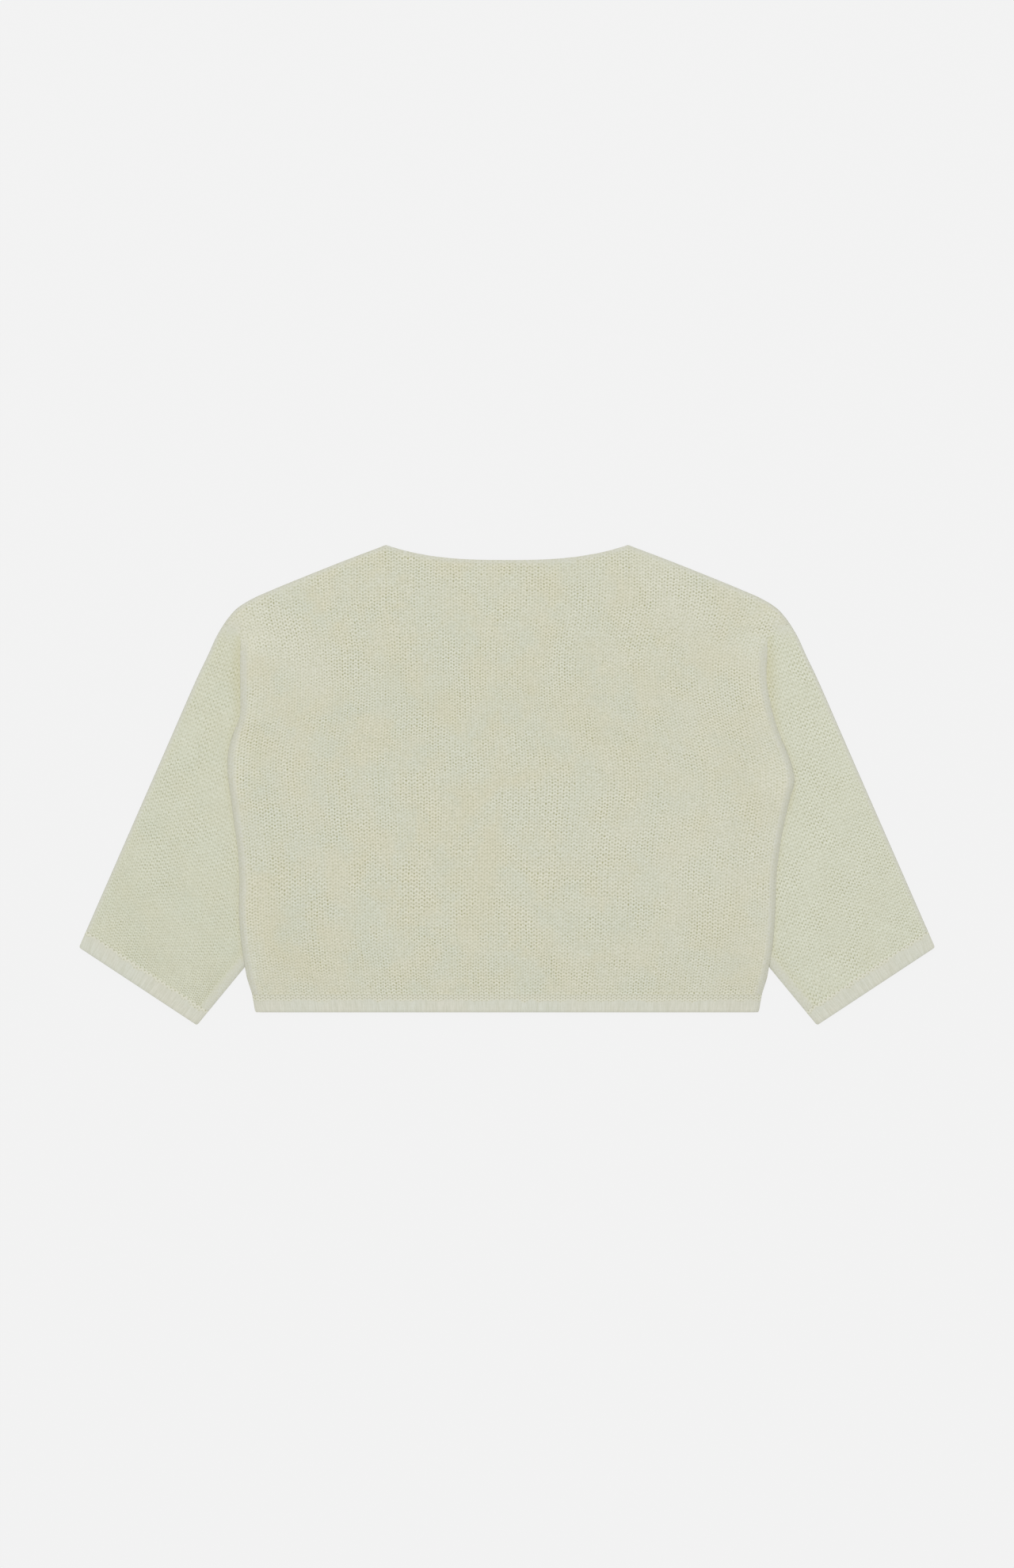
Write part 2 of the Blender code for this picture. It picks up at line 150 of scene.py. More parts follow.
# Painted shade and painted light on the folds of the cloth: above 0 painted shade, darker and more
# yellow, below 0 painted light, lighter
frontShadeAndLight = (
    # from x and y, to x and y, half width, strength
    (-0.252, 0.165, -0.205, 0.12, 0.032, -0.8), (0.15, 0.228, 0.205, 0.185, 0.02, -0.75),
    (-0.269, 0.06, -0.268, 0.004, 0.0085, 0.22), (-0.249, -0.05, -0.242, -0.178, 0.013, 0.16),
    (-0.14, 0.125, -0.065, 0.07, 0.018, 0.1), (-0.06, -0.098, -0.022, -0.126, 0.015, 0.11),
    (0.075, 0.061, 0.143, 0.04, 0.011, 0.1), (0.12, -0.06, 0.205, -0.08, 0.035, -0.3),
    (0.06, 0.148, 0.17, 0.158, 0.005, 0.12), (0.07, 0.132, 0.185, 0.14, 0.005, -0.3),
    (-0.06, 0.094, 0.06, 0.098, 0.006, 0.1), (0.236, 0.01, 0.262, -0.02, 0.015, 0.1),
)
backShadeAndLight = (
    (-0.23, 0.17, -0.18, 0.12, 0.026, -0.4), (0.09, 0.22, 0.19, 0.19, 0.02, -0.3),
    (-0.12, -0.02, -0.05, -0.05, 0.022, 0.12), (0.225, -0.03, 0.218, -0.15, 0.014, 0.14),
    (0.03, 0.08, 0.14, 0.06, 0.016, 0.1), (-0.18, -0.15, -0.08, -0.16, 0.03, -0.25),
)
sleeveShadeAndLight = {
    left: ((-0.412, -0.1, -0.402, -0.18, 0.02, 0.1), (-0.318, 0.11, -0.345, 0.04, 0.012, -0.3)),
    right: ((0.335, 0.08, 0.365, 0.01, 0.016, -0.4), (0.392, -0.12, 0.378, -0.19, 0.014, 0.1),
            (0.307, -0.002, 0.303, -0.024, 0.0035, 0.35)),
}
# How much of the droop the courses have at each height
droopShares = ((-0.2251, 0), (-0.16, 0.6), (-0.11, 1), (0.0942, 1), (0.24, 0.33))

sleeve = {
    "line": (
        (0.3035, 0.1732), (0.312, 0.1588), (0.3213, 0.1384), (0.3358, 0.1078),
        (0.37, 0.0295), (0.4145, -0.072), (0.4595, -0.1747),
    ),
    "armholeFoot": 0.0347,
    "notch": -0.196,
    "cuffInner": (0.3328, -0.2583),
    "seamReach": 0.0002,  # the sleeve reaches this far into the seam with the body
    "wale": {left: 0.0048, right: 0.0049},
    "smoothOuter": (0.0015, 0.004),
    "smoothInner": (0.0075, 0.005),
    "waver": 0.0006,
    "waverAcross": (5, 0.05),
    "waverUp": (6, 0.045),
    "calmEdge": 0.015,
    "calmCuff": 0.012,
    # soft line inside the inner fold, near the cuff, which dips and carries painted shade: least, most,
    # distance and width
    "crease": (0, 1, 0.0125, 0.005),
    "creaseDepth": 0.0009,
    "creaseShade": 0.25,
    "creaseTop": (-0.135, 0.03),  # below this height, growing in this length
    "valleyDepth": 0.0008,  # dip beside the body
    # painted shade in that dip, its width and strength: least, and how much more round a height, within
    # a reach
    "valleyWidth": (0.004, 0.006, 0.115, 0.04),
    "valleyShade": (0.35, 0.6, 0.118, 0.05),
    "valleyEnds": (0.01, 0.02),  # grows below the shoulder, runs out at the notch
    "meetWidth": (0.001, 0.003),  # under the body and beside it, where the two meet
    "innerSteps": (0.012, 0.01),  # along the fold and across
}
# How the courses of the sleeves run, by the height at which each leaves the outer fold
sleeveCourses = (
    # height, height of a course, slope down towards the body in degrees on the left and right
    (-0.175, 0.0036, 33.4, 33.4), (-0.157, 0.0036, 33.4, 33.4), (-0.131, 0.0036, 37, 29),
    (-0.0996, 0.0038, 39.5, 27), (-0.071, 0.0039, 40, 25), (-0.039, 0.004, 39.5, 23),
    (-0.0088, 0.0042, 37.8, 20), (0.0228, 0.0043, 35.5, 18), (0.0577, 0.0047, 29.5, 20),
    (0.094, 0.0047, 25, 22), (0.129, 0.0047, 20, 20), (0.1732, 0.004, 8, 6),
)
rib = {
    "depth": 0.0192,
    "relief": 0.0004,
    "ridge": 0.0002,  # how far the ridges stand over the plain knit
    "power": 9.0,
    "fadeLength": 0.0055,  # the ribs run out towards the seam in this length
    "hemCourses": 6,
    "cuffCourses": 4.7,
    "knitFrom": 3.7,  # plain knit reaches down to about this course
    "knitGrows": 0.8,  # courses in which its relief grows and ends
    "knitEnds": 0.4,
    "hemCount": 50,
    "cuffCount": 14,
    "perRib": 12,
    "rows": 13,
    "innerHem": (50, 3),  # columns and rows of the inside
    "innerCuff": (28, 3),
    "corner": 0.0016,
    "cornerPower": 6,  # keeps the rounding low
}
# Relief of the stitches; it begins within a millimetre or so of the ribs
knit = {"columnsPerWale": 3, "rowsPerCourse": 2, "pit": 0.00075, "lean": 0.00012, "begins": 0.0012}


def softStep(value):
    # eased from 0 to 1: three times the square less twice the cube
    t = np.clip(value, 0, 1)
    return t * t * (3 - 2 * t)


def eased(distance, width):
    # slope that flattens out: 1 less the square of what is left of the width
    rest = 1 - np.clip(distance / width, 0, 1)
    return 1 - rest * rest


def rolled(distance, width):
    # quarter ellipse: the root of that slope
    return np.sqrt(eased(distance, width))


def insideShift(fromFold):
    # how far the inside of a folded wall lies in from its outside
    return wall * (1 - np.clip(fromFold / rollWidth, 0, 1))


def bellAt(place, table):
    # a least value, and more of it round a middle: the bell is e to minus the squared distance
    least, more, middle, reach = table
    return least + more * np.exp(-((place - middle) / reach) ** 2)


def curveThrough(points, steps=12):
    # Catmull-Rom: each stretch is a cubic through its two ends, along the chords beside it
    p = np.array(points, float)
    p = np.vstack([2 * p[0] - p[1], p, 2 * p[-1] - p[-2]])
    t = np.linspace(0.0, 1.0, steps, endpoint=False)[:, None]
    a, b, c, d = (p[i:len(p) - 3 + i, None] for i in range(4))
    curve = b + 0.5 * t * ((c - a) + t * ((2 * a - 5 * b + 4 * c - d) + t * (3 * b - a - 3 * c + d)))
    return np.vstack([curve.reshape(-1, p.shape[1]), p[-2]])


def lengths(line):
    # running length of a line from its start
    return np.concatenate([[0.0], np.cumsum(np.linalg.norm(np.diff(line, axis=0), axis=1))])


def walk(line, places):
    # points of a line at the given running lengths
    total = lengths(line)
    return np.stack([np.interp(places, total, line[:, i]) for i in range(line.shape[1])], axis=-1)


def waves(x, y, seed, length, count=7):
    # sum of sine waves in random directions, about from -1 to 1
    rng = np.random.default_rng(seed)
    total = np.zeros_like(x)
    for _ in range(count):
        angle, phase = rng.uniform(0, circle, 2)
        pace = circle / (length * rng.uniform(0.7, 1.5))
        total += np.sin((x * math.cos(angle) + y * math.sin(angle)) * pace + phase)
    return total / math.sqrt(count * 2.0)


def wavered(x, y, piece, calm):
    # stitches lie a little out of line, first across and then up and down
    x = x + piece["waver"] * calm * waves(x, y, *piece["waverAcross"])
    return x, y + piece["waver"] * calm * waves(x, y, *piece["waverUp"])


def coursesUpTo(places, heights):
    # number of courses up to each place: the running sum of 1 over the height of a course
    pace = 1.0 / heights
    return np.concatenate([[0.0], np.cumsum((pace[1:] + pace[:-1]) / 2 * np.diff(places))])


# Lattice of stitches: every other row stands half a step along, so that each deep point lies
# in a ring of six raised ones

def latticeShares(rows, columns):
    # place of each point across, counted in steps: whole ones, then ones moved back by a half
    steps = np.arange(columns + 2)[None] - 0.5 * (np.arange(rows)[:, None] % 2)
    return np.clip(steps, 0, columns)


def latticeFaces(rows, columns, start=0):
    # two triangles for each cell, split towards the point that stands over its middle
    index = start + np.arange(rows * columns).reshape(rows, columns)
    a, b, c, d = index[:-1, :-1], index[:-1, 1:], index[1:, :-1], index[1:, 1:]
    whole = (np.arange(rows - 1) % 2 == 0)[:, None]
    first = np.stack([a, b, np.where(whole, d, c)], axis=-1)
    second = np.stack([np.where(whole, a, b), d, c], axis=-1)
    return np.concatenate([first.reshape(-1, 3), second.reshape(-1, 3)])


def pitsOf(wale, course):
    # 1 in the deep points, at whole stitches and half-way between them, and 0 on the legs
    return np.clip((0.5 + np.cos(circle * wale) * np.cos(circle * course)) / 1.5, 0, 1)


def stitchDepth(wale, course):
    # the pits, and the lean of each course towards the next
    return knit["pit"] * pitsOf(wale, course) + knit["lean"] * (1 + np.cos(circle * course))


def zipped(first, second, points):
    # band of triangles between two lines of points, each step taken by the line that is behind
    shares = []
    for line in (first, second):
        along = lengths(points[line])
        shares.append(along / max(along[-1], 1e-9))
    steps = np.concatenate([shares[0][1:], shares[1][1:]])
    mine = np.concatenate([np.ones(len(first) - 1, int), np.zeros(len(second) - 1, int)])
    mine = mine[np.argsort(steps, kind="stable")]
    a = np.cumsum(mine) - mine
    b = np.cumsum(1 - mine) - (1 - mine)
    following = np.where(mine == 1, first[np.minimum(a + 1, len(first) - 1)],
                         second[np.minimum(b + 1, len(second) - 1)])
    return np.stack([first[a], second[b], following], axis=-1)


class Shell:
    # sheets of points that are gathered one by one, and the bands that close them
    def __init__(self):
        self.points, self.stitches, self.creases, self.faces, self.count = [], [], [], [], 0

    def add(self, x, y, z, wale, course, fade=0.0, crease=0.0):
        # one sheet with its place in the knit; gives the numbers of its points
        self.faces.append(latticeFaces(*x.shape, self.count))
        self.points.append(stack(x, y, z))
        self.stitches.append(stack(wale, course, fade + 0 * x))
        # painted shade (above 0) and painted light (below 0) at each point
        self.creases.append((crease + 0 * x).ravel())
        self.count += x.size
        return np.arange(self.count - x.size, self.count).reshape(x.shape)

    def close(self, outerLines, innerLines):
        points = np.vstack(self.points)
        for outerLine, innerLine in zip(outerLines, innerLines):
            self.faces.append(zipped(outerLine, innerLine, points))


def stack(*arrays):
    return np.stack([np.asarray(a, float).ravel() for a in arrays], axis=-1)


def addObject(name, data):
    made = bpy.data.objects.new(name, data)
    bpy.context.scene.collection.objects.link(made)
    return made


def makePiece(name, shell, material, node):
    # closed shell: doubled points merged, faces turned outwards, smooth but for its cut edges
    mesh = bpy.data.meshes.new(name)
    mesh.from_pydata(np.vstack(shell.points).tolist(), [], np.vstack(shell.faces).tolist())
    # the places in the knit, and the painted shade and light of each point, go to the shader as
    # attributes
    for key, kind, slotName, values in (("stitch", "FLOAT_VECTOR", "vector", np.vstack(shell.stitches)),
                                        ("crease", "FLOAT", "value", np.concatenate(shell.creases))):
        layer = mesh.attributes.new(key, kind, "POINT")
        layer.data.foreach_set(slotName, np.ascontiguousarray(values, np.float32).ravel())
    shape = bmesh.new()
    shape.from_mesh(mesh)
    bmesh.ops.remove_doubles(shape, verts=shape.verts, dist=cloth["merge"])
    bmesh.ops.dissolve_degenerate(shape, edges=shape.edges, dist=cloth["leastEdge"])
    bmesh.ops.recalc_face_normals(shape, faces=shape.faces)
    bare = sum(1 for edge in shape.edges if len(edge.link_faces) != 2)
    shape.to_mesh(mesh)
    shape.free()
    mesh.shade_smooth()
    mesh.set_sharp_from_angle(angle=math.radians(cloth["sharpAngle"]))
    mesh.materials.append(material)
    piece = addObject(name, mesh)
    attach(piece, "root")
    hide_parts(node)
    print(name, len(mesh.polygons), "faces,", bare, "open edges")
    return piece


def makeFlat(name, facing, sheets, material, node):
    # outside and inside, closed along their four edges; a back mirrors a front
    shell, rims = Shell(), []
    for x, y, z, middle, *place in sheets:
        index = shell.add(x, y, z if facing > 0 else 2 * middle - z, *place)
        rims.append((index[0], index[:, -1], index[-1], index[:, 0]))
    shell.close(*rims)
    return makePiece(name, shell, material, node)


# Body

sides = {side: curveThrough([(y, a if side == left else b, tuck) for y, a, b, tuck in sideLine])
         for side in (left, right)}
shoulder = curveThrough(shoulderLine)
# from over the neck to below the hem, half a millimetre apart
bodyLevels = np.linspace(0.28, -0.27, 1101)


def sideAt(side, y, column=1):
    # half width of the body (or with column 2 the tuck) at a height, read from the side line
    line = sides[side]
    return np.interp(y, line[::-1, 0], line[::-1, column])


def calmSide(side, y):
    # half width after a bell-shaped average over the heights around
    offsets = bodyLevels[:, None] - bodyLevels[None]
    bell = np.exp(-0.5 * (offsets / body["waleCalm"]) ** 2)
    calm = bell @ sideAt(side, bodyLevels) / bell.sum(axis=1)
    return np.interp(y, bodyLevels[::-1], calm[::-1])


def topHeight(x):
    # neck: centre height plus the drop times a power of the share of the half width
    share = np.abs(x) / body["neckHalf"]
    neck = body["neckCentre"] + body["neckDrop"] * share ** body["neckPower"]
    return np.where(np.abs(x) < body["neckHalf"], neck,
                    np.interp(np.abs(x), *shoulder.T))


def edgeDistance(x, y):
    # distance in from the nearer side, and the tuck of the sleeve there
    distance = np.where(x < 0, sideAt(left, y), sideAt(right, y)) - np.abs(x)
    tuck = np.where(x < 0, sideAt(left, y, 2), sideAt(right, y, 2))
    return np.maximum(distance, 0.0), tuck


def waleX(share, y):
    # between the calm sides in even steps, and near each side turned to the true one
    west, east = -calmSide(left, y), calmSide(right, y)
    x = west + share * (east - west)
    x += (-sideAt(left, y) - west) * np.exp(-(share / body["edgeShare"]) ** 2)
    x += (sideAt(right, y) - east) * np.exp(-((1 - share) / body["edgeShare"]) ** 2)
    return x


courseTable = np.array(courseHeights)
courseFine = np.linspace(body["ribTop"], courseTable[-1, 0], 600)
courseCount = coursesUpTo(courseFine, np.interp(courseFine, *courseTable.T))


def droopOf(x, level):
    # fall of a course below its level in the middle: cube of the distance from the middle
    share = np.interp(level, *np.array(droopShares).T)
    return body["droop"] * (np.abs(x) / body["droopAt"]) ** 3 * share


def bodyPlan(columns, courses):
    # points of the stitches: rows are courses and columns wales, cut off at the upper edge
    share = latticeShares(len(courses), columns) / columns
    level = np.interp(courses, courseCount, courseFine)[:, None] + 0 * share
    x = waleX(share, level)
    # the two depend on each other, so a few rounds bring them together
    for _ in range(12):
        y = np.minimum(level - droopOf(x, level), topHeight(x))
        x = (x + waleX(share, y)) / 2
    free, top = level - droopOf(x, level), topHeight(x)
    y = np.minimum(free, top)
    y[0] = body["ribTop"]
    x[0] = waleX(share[0], y[0])
    # each column ends at the first of its points that has come to the upper edge
    last = (free >= top).argmax(axis=0)
    row = np.minimum(np.arange(len(courses))[:, None], last)
    x, y = np.take_along_axis(x, row, 0), np.take_along_axis(y, row, 0)
    share = np.take_along_axis(share, row, 0)
    reached = y.copy()
    for _ in range(6):
        reached = y + droopOf(x, reached)
    course = np.interp(reached, courseFine, courseCount)
    # columns of stitches keep to the calm sides, and the true side cuts them off
    west, east = -calmSide(left, y), calmSide(right, y)
    wale = (x - west) / (east - west) * body["wales"]
    square = np.exp(-((wale - share * body["wales"]) / body["turned"]) ** 2)
    return x, y, wale, course, square


def foldsAt(x, y, folds):
    # soft marks in the cloth: a bell over the distance from each short line, times its height
    total = np.zeros_like(x)
    for ax, ay, bx, by, width, height in folds:
        share = ((x - ax) * (bx - ax) + (y - ay) * (by - ay)) / ((bx - ax) ** 2 + (by - ay) ** 2)
        share = np.clip(share, 0, 1)
        squared = (x - ax - share * (bx - ax)) ** 2 + (y - ay - share * (by - ay)) ** 2
        total += height * np.exp(-squared / width ** 2)
    return total


def bodyHeights(x, y, toTop):
    # outside and inside of the front, the height at which the back mirrors it, and how far the
    # cloth has risen from its edges
    distance, tuck = edgeDistance(x, y)
    lift = sleeveLift * softStep((body["riseFrom"] - y) / body["shoulderRise"])
    lift = lift * softStep((y - body["hemBottom"]) / (body["notchClear"] - body["hemBottom"]))
    lift = lift * (1 - softStep((distance - tuck - body["rampMargin"]) / body["rampWidth"]))
    sideSeam = softStep((body["riseFrom"] - y) / body["sideSeamStart"])
    topSeam = softStep((np.abs(x) - body["neckHalf"]) / body["shoulderSeam"])
    rise = (1 - sideSeam * (1 - eased(distance, bellAt(y, body["sideRoll"])))) * (
        1 - topSeam * (1 - rolled(toTop, rollWidth)))
    # the edges sink until they lie on what is under them
    seat = cloth["edgeSeam"] - cloth["edgeSink"] * lift / sleeveLift
    middle = lift + halfStack - (halfStack - seat) * (1 - rise)
    seam = middle + seamGap / 2
    full = halfStack - seamGap / 2
    outer = seam + cloth["seamEdge"] + (full - cloth["seamEdge"]) * rise
    inner = seam + (full - wall) * rise
    return outer, inner, middle, rise


def fadeIn(distance, strip):
    # 0 on the plain strip beside an edge, then up to 1
    return softStep((distance - strip[0]) / strip[1])


def plainSpot(x, y):
    # small where the shoulder, the side and the sleeve come together, then up to 1
    across, up, size, strength = body["plainSpot"]
    return 1 - strength * np.exp(-((np.abs(x) - across) ** 2 + (y - up) ** 2) / size ** 2)


def lip(distance):
    # how far the outside of a bare edge is rounded down
    return cloth["openEdge"] * (1 - rolled(distance, cloth["lipWidth"]))


def bodySheet(columns, courses, fine, folds, shadeAndLight):
    # one sheet of the body: plan, height, the height it mirrors at, and the place in the knit
    x, y, wale, course, square = bodyPlan(columns, courses)
    toTop = np.maximum(topHeight(x) - y, 0.0)
    distance, _ = edgeDistance(x, y)
    fromRib = y - body["ribTop"]
    calm = 1.0
    for fromEdge in (distance, toTop, fromRib):
        calm = calm * softStep(fromEdge / body["calmEdge"])
    outer, inner, middle, rise = bodyHeights(x, y, toTop)
    shift = foldsAt(x, y, folds) * calm
    outer, inner = outer + shift, inner + shift
    belowShoulder = softStep((body["riseFrom"] - y) / body["sideSeamStart"])
    fade = (1 - belowShoulder * (1 - fadeIn(distance, body["smoothSide"]))) * fadeIn(
        toTop, body["smoothTop"]) * plainSpot(x, y)
    # painted shade and painted light of the folds
    crease = foldsAt(x, y, shadeAndLight)
    if fine:
        relief = fade * rise * square * softStep(fromRib / knit["begins"])
        x, y = wavered(x, y, body, calm)
        # the neck is a bare edge, and the shoulders are sewn
        bare = 1 - softStep((np.abs(x) - body["neckHalf"]) / body["shoulderSeam"])
        outer = outer - stitchDepth(wale, course) * relief - lip(toTop) * bare
    return x, y, outer if fine else inner, middle, wale, course, fade, crease


def makeBody(name, facing, material):
    # outer lattice of stitches and a plain inner sheet
    half = 1.0 / knit["rowsPerCourse"]
    outerCourses = np.arange(0, courseCount[-1], half)
    innerCourses = np.arange(0, courseCount[-1] - half, body["innerCourses"])
    innerCourses = np.append(innerCourses, outerCourses[-1])
    marks = (frontFolds, frontShadeAndLight) if facing > 0 else (backFolds, backShadeAndLight)
    sheets = (bodySheet(body["wales"] * knit["columnsPerWale"], outerCourses, True, *marks),
              bodySheet(body["innerColumns"], innerCourses, False, *marks))
    node = "front_panel" if facing > 0 else "back_panel"
    return makeFlat(name, facing, sheets, material, node)


# Ribbing

def ribRelief(phase, facing):
    # soft ridges with narrow valleys, a power of the cosine over each rib: on top they stand up
    # from the plain knit, and underneath they lie level with the ground
    high = rib["ridge"] if facing > 0 else 0.0
    return high - rib["relief"] * np.abs(np.cos(math.pi * phase)) ** rib["power"]


def ribPits(phase, course):
    # depth of the stitches of plain knit in the upper courses, up to the seam
    share = softStep((course - rib["knitFrom"]) / rib["knitGrows"])
    share = share * softStep((course.max() - course) / rib["knitEnds"])
    return knit["pit"] * pitsOf(2 * phase, course) * share


def lowerCorner(upwards, fromSide):
    # how far the lower edge is rounded up beside its ends
    return (1 - upwards) ** rib["cornerPower"] * rib["corner"] * (1 - rolled(fromSide, rib["corner"]))


def hemSheet(columns, rows, fine, facing):
    # band from side to side, with its lower corners a little rounded
    across = np.linspace(0.0, 1.0, columns + 1)[None]
    upwards = np.linspace(0.0, 1.0, rows)[:, None]
    top = body["ribTop"] - seamGap / 2
    y = body["hemBottom"] + upwards * (top - body["hemBottom"]) + 0 * across
    west, east = -sideAt(left, y), sideAt(right, y)
    x = west + across * (east - west)
    y = y + lowerCorner(upwards, np.minimum(x - west, east - x))
    farFromTop = np.full_like(x, 1.0)
    outer, inner, middle, rise = bodyHeights(x, y, farFromTop)
    phase = across * rib["hemCount"] + 0 * y
    course = upwards * rib["hemCourses"] + 0 * phase
    if fine:
        runOut = softStep((top - y) / rib["fadeLength"])
        relief = ribRelief(phase, facing) * runOut - ribPits(phase, course)
        outer = outer + rise * relief - lip(y - body["hemBottom"])
    return x, y, outer if fine else inner, middle, phase, course


def makeHem(name, facing, material):
    # ribs on the outside and a plain inner sheet
    sheets = (hemSheet(rib["hemCount"] * rib["perRib"], rib["rows"], True, facing),
              hemSheet(*rib["innerHem"], False, facing))
    node = "hem_front" if facing > 0 else "hem_back"
    return makeFlat(name, facing, sheets, material, node)


# Sleeves

def sleeveOutline(side):
    # outer fold from cuff to shoulder, and the rim from the inner corner of the cuff over the
    # hidden fold and the armhole to the shoulder, with the length at which the armhole begins
    mirror = np.array([side, 1.0])
    outer = curveThrough(sleeve["line"])[::-1] * mirror
    line = sides[side]
    edge = np.stack([line[:, 1] * side, line[:, 0]], axis=-1)
    direction = np.gradient(edge, axis=0)
    direction /= np.linalg.norm(direction, axis=1)[:, None]
    outwards = np.stack([-direction[:, 1], direction[:, 0]], axis=-1) * side
    hidden = edge - outwards * sleeve["seamReach"]
    hidden[:, 0] -= side * line[:, 2]
    hidden = hidden[line[:, 0] > sleeve["notch"]][::-1]
    hidden[-1] = outer[-1]
    rim = np.vstack([np.array(sleeve["cuffInner"]) * mirror, hidden])
    foot = np.interp(sleeve["armholeFoot"], hidden[:, 1], lengths(rim)[1:])
    return outer, rim, foot


def crossings(starts, directions, rim):
    # where each course meets the rim: its length from the outer fold, and the length on the rim;
    # the cross product of its direction and the way to the rim changes sign there
    toRim = rim[None] - starts[:, None]
    turn = directions[:, None, 0] * toRim[..., 1] - directions[:, None, 1] * toRim[..., 0]
    crossed = np.sign(turn[:, 1:]) != np.sign(turn[:, :1])
    place = np.where(crossed.any(axis=1), crossed.argmax(axis=1), len(rim) - 2)
    row = np.arange(len(starts))
    before, after = turn[row, place], turn[row, place + 1]
    share = np.clip(before / np.where(before == after, 1.0, before - after), 0, 1)[:, None]
    point = rim[place] + share * (rim[place + 1] - rim[place])
    along = lengths(rim)
    reach = np.linalg.norm(point - starts, axis=1)
    return reach, along[place] + share[:, 0] * (along[place + 1] - along[place])


def distanceTo(line, points):
    # shortest distance from each point to a line of straight stretches
    best = np.full(len(points), 1.0)
    for a, b in zip(line[:-1], line[1:]):
        run = b - a
        share = np.clip((points - a) @ run / (run @ run), 0, 1)
        best = np.minimum(best, np.linalg.norm(points - a - share[:, None] * run, axis=1))
    return best


def sleevePlan(side, columnStep, places):
    # courses start on the outer fold, and run down towards the body at the slopes in the table
    outer, rim, foot = sleeveOutline(side)
    starts = walk(outer, places)
    table = np.array(sleeveCourses)
    slope = np.radians(np.interp(starts[:, 1], table[:, 0], table[:, 2 if side == left else 3]))
    direction = np.stack([-side * np.cos(slope), -np.sin(slope)], axis=-1)
    reach, onRim = crossings(starts, direction, rim)
    reach[-1] = 0.0
    columns = math.ceil(reach.max() / columnStep)
    steps = latticeShares(len(places), columns)
    steps = np.where(steps >= columns, columns + 2, steps)
    along = np.minimum(steps * columnStep, reach[:, None])
    plan = starts[:, None] + along[..., None] * direction[:, None]
    innerFold = rim[lengths(rim) <= foot][::3]
    toInner = distanceTo(innerFold, plan.reshape(-1, 2)).reshape(along.shape)
    onFold = (onRim < foot)[:, None] & (along >= reach[:, None])
    toInner = np.where(onFold, 0.0, toInner)
    opening = np.flatnonzero(onRim >= foot)[0] - 1
    return plan, along, toInner, direction, opening


def besideBody(side, x, y):
    # distance out from the side of the body, below 0 under it, and the painted shade in the dip there
    beside = np.abs(x) - sideAt(side, y)
    shade = np.exp(-(beside / bellAt(y, sleeve["valleyWidth"])) ** 2)
    grows, runsOut = sleeve["valleyEnds"]
    shade = shade * softStep((body["riseFrom"] - y) / grows)
    shade = shade * softStep((y - sleeve["notch"]) / runsOut)
    return beside, shade * bellAt(y, sleeve["valleyShade"])


def makeSleeve(name, side, material):
    # flattened tube: a lattice of stitches on top and one underneath round a plain inner tube
    outer = sleeveOutline(side)[0]
    whole = lengths(outer)[-1]
    first = rib["depth"] + seamGap
    fold = np.linspace(first, whole, 400)
    counts = coursesUpTo(fold, np.interp(walk(outer, fold)[:, 1], *np.array(sleeveCourses).T[:2]))
    half = 1.0 / knit["rowsPerCourse"]
    fineRows = np.append(np.interp(np.arange(0, counts[-1] - half / 2, half), counts, fold), whole)
    rowStep, columnStep = sleeve["innerSteps"]
    coarseRows = np.append(np.arange(first, whole - rowStep / 2, rowStep), whole)
    waleWidth = sleeve["wale"][side]
    shell, ends = Shell(), {1: [], -1: []}
    for fine, places, step in ((True, fineRows, waleWidth / knit["columnsPerWale"]),
                               (False, coarseRows, columnStep)):
        plan, along, toInner, direction, opening = sleevePlan(side, step, places)
        x, y = plan[..., 0], plan[..., 1]
        fromFold = np.minimum(along, toInner)
        rise = rolled(fromFold, rollWidth)
        wale = along / waleWidth
        course = np.interp(places, fold, counts)[:, None] + 0 * along
        fade = fadeIn(along, sleeve["smoothOuter"]) * fadeIn(toInner, sleeve["smoothInner"])
        fade = fade * plainSpot(x, y)
        beside, crease = besideBody(side, x, y)
        if fine:
            fromCuff = (places - first)[:, None]
            calm = softStep(fromFold / sleeve["calmEdge"]) * softStep(fromCuff / sleeve["calmCuff"])
            x, y = wavered(x, y, sleeve, calm)
            relief = fade * rise * softStep(fromCuff / knit["begins"])
            height = halfStack * rise - stitchDepth(wale, course) * relief
            lineTop, lineGrows = sleeve["creaseTop"]
            line = bellAt(toInner, sleeve["crease"]) * softStep((lineTop - y) / lineGrows)
            height = height - sleeve["creaseDepth"] * line - sleeve["valleyDepth"] * crease * rise
            # painted shade of the dip and along the line inside the fold, with the painted shade and
            # light of the folds
            crease = crease + sleeve["creaseShade"] * line + foldsAt(x, y, sleeveShadeAndLight[side])
            raised = foldsAt(x, y, sleeveFolds[side]) * calm
            # the upper side comes to the height of the body's edge where it meets it
            edge = side * sideAt(side, y)
            meet = bodyHeights(edge, y, np.maximum(topHeight(edge) - y, 0.0))[0]
            near = np.exp(-(beside / np.where(beside < 0, *sleeve["meetWidth"])) ** 2)
            near = near * rise * softStep((y - sleeve["notch"]) / sleeve["valleyEnds"][1])
            over = meet + seamGap / 2 - halfStack
            raised = raised + near * (over - height - raised)
        else:
            shift = insideShift(fromFold) * np.where(along <= toInner, 1, -1)
            x, y = x + shift * direction[:, :1], y + shift * direction[:, 1:]
            height = (halfStack - wall) * rise
            raised = 0 * height
        for facing in (1, -1):
            # folds that stand up show on top alone, and hollows underneath too
            bend = raised if facing > 0 else np.minimum(raised, 0)
            z = halfStack + facing * (height + bend)
            index = shell.add(x, y, z, wale, course, fade, crease if facing > 0 else 0.0)
            ends[facing].append((index[0], index[opening:, -1]))
    for facing in (1, -1):
        shell.close(*ends[facing])
    node = "sleeve_left" if side == left else "sleeve_right"
    return makePiece(name, shell, material, node)


